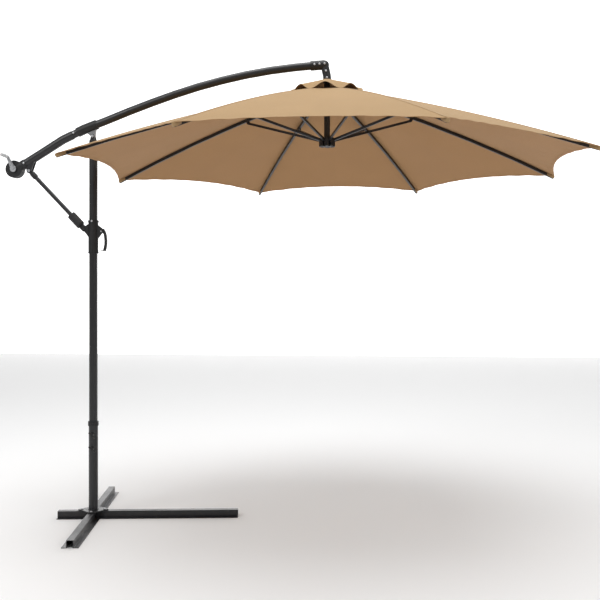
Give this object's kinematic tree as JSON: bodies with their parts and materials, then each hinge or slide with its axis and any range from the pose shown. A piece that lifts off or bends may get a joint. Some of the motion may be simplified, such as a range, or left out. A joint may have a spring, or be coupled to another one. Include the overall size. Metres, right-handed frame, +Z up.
{
  "type": "patio umbrella with base",
  "caption": "Offset patio umbrella: scalloped fabric canopy hung from a curved tilting arm with a crank winch, on a mast with a tilt slider and a flat cross base.",
  "frame": {"origin": "on the mast's axis at the ground, under the base's flanges; the floor_face mount is beside it", "axes": "+X from the mast towards the canopy, +Z up, +Y to the left when looking along +X"},
  "size_m": [3.2207, 2.7254, 2.5979],
  "materials": {
    "base_bar_long": "satin powder coat",
    "base_bar_cross": "satin powder coat",
    "mast_foot": "satin powder coat",
    "foot_bolt_1": "bright zinc",
    "foot_bolt_2": "bright zinc",
    "foot_bolt_3": "bright zinc",
    "foot_bolt_4": "bright zinc",
    "socket_collar": "fine grained",
    "clamp_screw_upper": "fine grained",
    "clamp_screw_lower": "fine grained",
    "mast_tube": "satin powder coat",
    "mast_head": "satin powder coat",
    "arm_pivot_bolt": "bright zinc",
    "arm_tube": "satin powder coat",
    "arm_sleeve": "satin powder coat",
    "arm_saddle": "fine grained",
    "winch_housing": "fine grained",
    "strut_head_bolt": "bright zinc",
    "elbow": "fine grained",
    "centre_pole": "satin powder coat",
    "upper_hub": "fine grained",
    "hub_ring_wire": "bright zinc",
    "lift_cord": "braided",
    "strut_tube": "satin powder coat",
    "strut_foot": "fine grained",
    "strut_head": "fine grained",
    "slider_collar": "fine grained",
    "strut_foot_bolt": "bright zinc",
    "lever_pin": "bright zinc",
    "slider_lever": "fine grained",
    "brake_shoe": "matt",
    "winch_drum": "bright zinc",
    "crank_arm": "bright zinc",
    "crank_grip": "satin",
    "elbow_pulley": "fine grained",
    "runner": "fine grained",
    "rib_1": "satin powder coat",
    "canvas_1": "woven polyester",
    "stretcher_1": "satin powder coat",
    "rib_2": "satin powder coat",
    "canvas_2": "woven polyester",
    "stretcher_2": "satin powder coat",
    "rib_3": "satin powder coat",
    "canvas_3": "woven polyester",
    "stretcher_3": "satin powder coat",
    "rib_4": "satin powder coat",
    "canvas_4": "woven polyester",
    "stretcher_4": "satin powder coat",
    "rib_5": "satin powder coat",
    "canvas_5": "woven polyester",
    "stretcher_5": "satin powder coat",
    "rib_6": "satin powder coat",
    "canvas_6": "woven polyester",
    "stretcher_6": "satin powder coat",
    "rib_7": "satin powder coat",
    "canvas_7": "woven polyester",
    "stretcher_7": "satin powder coat",
    "rib_8": "satin powder coat",
    "canvas_8": "woven polyester",
    "stretcher_8": "satin powder coat"
  },
  "bodies": {
    "base": {"base_bar_long": "base_bar_long", "base_bar_cross": "base_bar_cross", "mast_foot": "mast_foot", "foot_bolt_1": "foot_bolt_1", "foot_bolt_2": "foot_bolt_2", "foot_bolt_3": "foot_bolt_3", "foot_bolt_4": "foot_bolt_4", "socket_collar": "socket_collar"},
    "clamp_upper": {"clamp_screw_upper": "clamp_screw_upper"},
    "clamp_lower": {"clamp_screw_lower": "clamp_screw_lower"},
    "mast": {"mast_tube": "mast_tube", "mast_head": "mast_head", "arm_pivot_bolt": "arm_pivot_bolt"},
    "arm": {"arm_tube": "arm_tube", "arm_sleeve": "arm_sleeve", "arm_saddle": "arm_saddle", "winch_housing": "winch_housing", "strut_head_bolt": "strut_head_bolt", "elbow": "elbow", "centre_pole": "centre_pole", "upper_hub": "upper_hub", "hub_ring_wire": "hub_ring_wire", "lift_cord": "lift_cord"},
    "strut": {"strut_tube": "strut_tube", "strut_foot": "strut_foot", "strut_head": "strut_head"},
    "slider": {"slider_collar": "slider_collar", "strut_foot_bolt": "strut_foot_bolt", "lever_pin": "lever_pin"},
    "lever": {"slider_lever": "slider_lever"},
    "brake": {"brake_shoe": "brake_shoe"},
    "crank": {"winch_drum": "winch_drum", "crank_arm": "crank_arm"},
    "grip": {"crank_grip": "crank_grip"},
    "pulley": {"elbow_pulley": "elbow_pulley"},
    "runner": {"runner": "runner"},
    "rib_1": {"rib_1": "rib_1", "canvas_1": "canvas_1"},
    "stretcher_1": {"stretcher_1": "stretcher_1"},
    "rib_2": {"rib_2": "rib_2", "canvas_2": "canvas_2"},
    "stretcher_2": {"stretcher_2": "stretcher_2"},
    "rib_3": {"rib_3": "rib_3", "canvas_3": "canvas_3"},
    "stretcher_3": {"stretcher_3": "stretcher_3"},
    "rib_4": {"rib_4": "rib_4", "canvas_4": "canvas_4"},
    "stretcher_4": {"stretcher_4": "stretcher_4"},
    "rib_5": {"rib_5": "rib_5", "canvas_5": "canvas_5"},
    "stretcher_5": {"stretcher_5": "stretcher_5"},
    "rib_6": {"rib_6": "rib_6", "canvas_6": "canvas_6"},
    "stretcher_6": {"stretcher_6": "stretcher_6"},
    "rib_7": {"rib_7": "rib_7", "canvas_7": "canvas_7"},
    "stretcher_7": {"stretcher_7": "stretcher_7"},
    "rib_8": {"rib_8": "rib_8", "canvas_8": "canvas_8"},
    "stretcher_8": {"stretcher_8": "stretcher_8"}
  },
  "joints": [
    {"name": "mast_swivel", "type": "hinge", "parent": "base", "child": "mast", "pos_m": [0, 0, 0.6], "axis": [0, 0, 1], "continuous": true},
    {"name": "clamp_turn_upper", "type": "hinge", "parent": "base", "child": "clamp_upper", "pos_m": [0, 0, 0.477], "axis": [0.1219, -0.9925, 0], "continuous": true},
    {"name": "clamp_turn_lower", "type": "hinge", "parent": "base", "child": "clamp_lower", "pos_m": [0, 0, 0.397], "axis": [0.1219, -0.9925, 0], "continuous": true},
    {"name": "arm_tilt", "type": "hinge", "parent": "mast", "child": "arm", "pos_m": [0, 0, 2.188], "axis": [0, 1, 0], "range_deg": [-12, 8]},
    {"name": "slider_slide", "type": "slide", "parent": "mast", "child": "slider", "axis": [0, 0, 1], "range_m": [-0.11754, 0.07836]},
    {"name": "strut_swing", "type": "hinge", "parent": "arm", "child": "strut", "pos_m": [-0.376, 0, 1.994], "axis": [0, 1, 0], "range_deg": [-12.91, 19.36]},
    {"name": "lever_squeeze", "type": "hinge", "parent": "slider", "child": "lever", "pos_m": [0.049, 0, 1.642], "axis": [0, 1, 0], "range_deg": [0, 6], "stiffness_Nm_per_rad": 2, "springref_deg": -8.59},
    {"name": "brake_release", "type": "slide", "parent": "slider", "child": "brake", "axis": [1, 0, 0], "range_m": [0, 0.00121]},
    {"name": "runner_slide", "type": "slide", "parent": "arm", "child": "runner", "axis": [0, 0, 1], "range_m": [-0.70972, 0]},
    {"name": "crank_turn", "type": "hinge", "parent": "arm", "child": "crank", "pos_m": [-0.463, 0, 2.004], "axis": [0, 1, 0], "range_deg": [-2293.21, 0]},
    {"name": "grip_spin", "type": "hinge", "parent": "crank", "child": "grip", "pos_m": [-0.49596, 0, 2.07469], "axis": [0, 1, 0], "continuous": true},
    {"name": "pulley_turn", "type": "hinge", "parent": "arm", "child": "pulley", "pos_m": [1.329, 0, 2.56025], "axis": [0, 1, 0], "range_deg": [0, 3786.46]},
    {"name": "rib_fold_1", "type": "hinge", "parent": "arm", "child": "rib_1", "pos_m": [1.37641, 0.01301, 2.426], "axis": [-0.3827, 0.9239, 0], "range_deg": [0, 66.01], "deforming": ["canvas_1"]},
    {"name": "stretcher_fold_1", "type": "hinge", "parent": "rib_1", "child": "stretcher_1", "pos_m": [1.81969, 0.19662, 2.28532], "axis": [-0.3827, 0.9239, 0], "range_deg": [-132.02, 0]},
    {"name": "rib_fold_2", "type": "hinge", "parent": "arm", "child": "rib_2", "pos_m": [1.35801, 0.03141, 2.426], "axis": [-0.9239, 0.3827, 0], "range_deg": [0, 66.01], "deforming": ["canvas_2"]},
    {"name": "stretcher_fold_2", "type": "hinge", "parent": "rib_2", "child": "stretcher_2", "pos_m": [1.54162, 0.47469, 2.28532], "axis": [-0.9239, 0.3827, 0], "range_deg": [-132.02, 0]},
    {"name": "rib_fold_3", "type": "hinge", "parent": "arm", "child": "rib_3", "pos_m": [1.33199, 0.03141, 2.426], "axis": [-0.9239, -0.3827, 0], "range_deg": [0, 66.01], "deforming": ["canvas_3"]},
    {"name": "stretcher_fold_3", "type": "hinge", "parent": "rib_3", "child": "stretcher_3", "pos_m": [1.14838, 0.47469, 2.28532], "axis": [-0.9239, -0.3827, 0], "range_deg": [-132.02, 0]},
    {"name": "rib_fold_4", "type": "hinge", "parent": "arm", "child": "rib_4", "pos_m": [1.31359, 0.01301, 2.426], "axis": [-0.3827, -0.9239, 0], "range_deg": [0, 66.01], "deforming": ["canvas_4"]},
    {"name": "stretcher_fold_4", "type": "hinge", "parent": "rib_4", "child": "stretcher_4", "pos_m": [0.87031, 0.19662, 2.28532], "axis": [-0.3827, -0.9239, 0], "range_deg": [-132.02, 0]},
    {"name": "rib_fold_5", "type": "hinge", "parent": "arm", "child": "rib_5", "pos_m": [1.31359, -0.01301, 2.426], "axis": [0.3827, -0.9239, 0], "range_deg": [0, 66.01], "deforming": ["canvas_5"]},
    {"name": "stretcher_fold_5", "type": "hinge", "parent": "rib_5", "child": "stretcher_5", "pos_m": [0.87031, -0.19662, 2.28532], "axis": [0.3827, -0.9239, 0], "range_deg": [-132.02, 0]},
    {"name": "rib_fold_6", "type": "hinge", "parent": "arm", "child": "rib_6", "pos_m": [1.33199, -0.03141, 2.426], "axis": [0.9239, -0.3827, 0], "range_deg": [0, 66.01], "deforming": ["canvas_6"]},
    {"name": "stretcher_fold_6", "type": "hinge", "parent": "rib_6", "child": "stretcher_6", "pos_m": [1.14838, -0.47469, 2.28532], "axis": [0.9239, -0.3827, 0], "range_deg": [-132.02, 0]},
    {"name": "rib_fold_7", "type": "hinge", "parent": "arm", "child": "rib_7", "pos_m": [1.35801, -0.03141, 2.426], "axis": [0.9239, 0.3827, 0], "range_deg": [0, 66.01], "deforming": ["canvas_7"]},
    {"name": "stretcher_fold_7", "type": "hinge", "parent": "rib_7", "child": "stretcher_7", "pos_m": [1.54162, -0.47469, 2.28532], "axis": [0.9239, 0.3827, 0], "range_deg": [-132.02, 0]},
    {"name": "rib_fold_8", "type": "hinge", "parent": "arm", "child": "rib_8", "pos_m": [1.37641, -0.01301, 2.426], "axis": [0.3827, 0.9239, 0], "range_deg": [0, 66.01], "deforming": ["canvas_8"]},
    {"name": "stretcher_fold_8", "type": "hinge", "parent": "rib_8", "child": "stretcher_8", "pos_m": [1.81969, -0.19662, 2.28532], "axis": [0.3827, 0.9239, 0], "range_deg": [-132.02, 0]}
  ],
  "couplings": [
    {"joint": "slider_slide", "follows": "arm_tilt", "m_per_rad": 0.55565},
    {"joint": "strut_swing", "follows": "arm_tilt", "ratio": -1.5973},
    {"joint": "brake_release", "follows": "lever_squeeze", "m_per_rad": 0.011459},
    {"joint": "crank_turn", "follows": "runner_slide", "rad_per_m": 56.338},
    {"joint": "pulley_turn", "follows": "runner_slide", "rad_per_m": -93.023},
    {"joint": "rib_fold_1", "follows": "runner_slide", "rad_per_m": -1.6231},
    {"joint": "stretcher_fold_1", "follows": "runner_slide", "rad_per_m": 3.2461},
    {"joint": "rib_fold_2", "follows": "runner_slide", "rad_per_m": -1.6231},
    {"joint": "stretcher_fold_2", "follows": "runner_slide", "rad_per_m": 3.2461},
    {"joint": "rib_fold_3", "follows": "runner_slide", "rad_per_m": -1.6231},
    {"joint": "stretcher_fold_3", "follows": "runner_slide", "rad_per_m": 3.2461},
    {"joint": "rib_fold_4", "follows": "runner_slide", "rad_per_m": -1.6231},
    {"joint": "stretcher_fold_4", "follows": "runner_slide", "rad_per_m": 3.2461},
    {"joint": "rib_fold_5", "follows": "runner_slide", "rad_per_m": -1.6231},
    {"joint": "stretcher_fold_5", "follows": "runner_slide", "rad_per_m": 3.2461},
    {"joint": "rib_fold_6", "follows": "runner_slide", "rad_per_m": -1.6231},
    {"joint": "stretcher_fold_6", "follows": "runner_slide", "rad_per_m": 3.2461},
    {"joint": "rib_fold_7", "follows": "runner_slide", "rad_per_m": -1.6231},
    {"joint": "stretcher_fold_7", "follows": "runner_slide", "rad_per_m": 3.2461},
    {"joint": "rib_fold_8", "follows": "runner_slide", "rad_per_m": -1.6231},
    {"joint": "stretcher_fold_8", "follows": "runner_slide", "rad_per_m": 3.2461}
  ]
}
